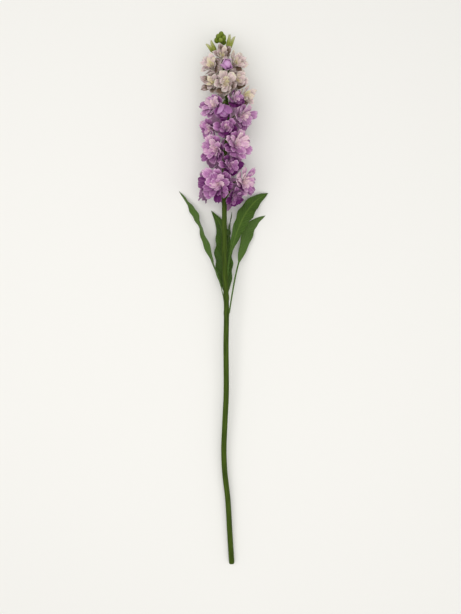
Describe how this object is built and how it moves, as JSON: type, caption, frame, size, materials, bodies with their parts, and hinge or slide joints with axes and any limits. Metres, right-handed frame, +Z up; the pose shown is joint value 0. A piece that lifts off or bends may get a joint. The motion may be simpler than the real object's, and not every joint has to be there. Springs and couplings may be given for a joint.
{
  "type": "stock flower stem",
  "caption": "Cut stock flower stem lying on its side, with a dense spike of double blooms in green calyxes, closed buds at the tip and long waved leaves.",
  "frame": {"origin": "middle of the foot of the whole part's box, on the surface that the stem lies on", "axes": "+Y runs along the stem from its cut end to the tip of the spike, +Z is up from the surface it lies on, +X is to the right seen from above with the tip ahead"},
  "size_m": [0.1483, 0.8812, 0.0894],
  "materials": {
    "stem": "smooth green stem with a faint bloom",
    "leaf": "dark green leaf, satin, with a paler midrib",
    "calyx": "matt green sepals, purplish at their edges",
    "bud": "matt light green buds",
    "petal_deep": "soft mauve petals with deep purple hollows, paler at the heart",
    "petal_lilac": "soft lilac petals, paler at the heart",
    "petal_pale": "soft pale petals, cream with a lilac flush"
  },
  "bodies": {
    "root": {"stem": "stem", "leaf_left": "leaf", "leaf_behind": "leaf", "leaf_right": "leaf", "leaf_right_low": "leaf", "leaf_small": "leaf", "calyx_01": "calyx", "calyx_02": "calyx", "calyx_03": "calyx", "calyx_04": "calyx", "calyx_05": "calyx", "calyx_06": "calyx", "calyx_07": "calyx", "calyx_08": "calyx", "calyx_09": "calyx", "calyx_10": "calyx", "calyx_11": "calyx", "calyx_12": "calyx", "calyx_13": "calyx", "calyx_14": "calyx", "calyx_15": "calyx", "calyx_16": "calyx", "calyx_17": "calyx", "calyx_18": "calyx", "calyx_19": "calyx", "calyx_20": "calyx", "calyx_21": "calyx", "calyx_22": "calyx", "calyx_23": "calyx", "calyx_24": "calyx", "calyx_25": "calyx", "bloom_01": "petal_deep", "bloom_02": "petal_deep", "bloom_03": "petal_deep", "bloom_04": "petal_deep", "bloom_05": "petal_deep", "bloom_06": "petal_deep", "bloom_07": "petal_deep", "bloom_08": "petal_deep", "bloom_09": "petal_lilac", "bloom_10": "petal_lilac", "bloom_11": "petal_lilac", "bloom_12": "petal_lilac", "bloom_13": "petal_deep", "bloom_14": "petal_lilac", "bloom_15": "petal_pale", "bloom_16": "petal_pale", "bloom_17": "petal_pale", "bloom_18": "petal_pale", "bloom_19": "petal_pale", "bloom_20": "petal_pale", "bloom_21": "petal_lilac", "bloom_22": "petal_pale", "bloom_23": "petal_deep", "bloom_24": "petal_pale", "bloom_25": "petal_deep", "bud_left": "bud", "bud_right": "bud", "bud_under": "bud", "bud_tip": "bud"}
  },
  "joints": []
}
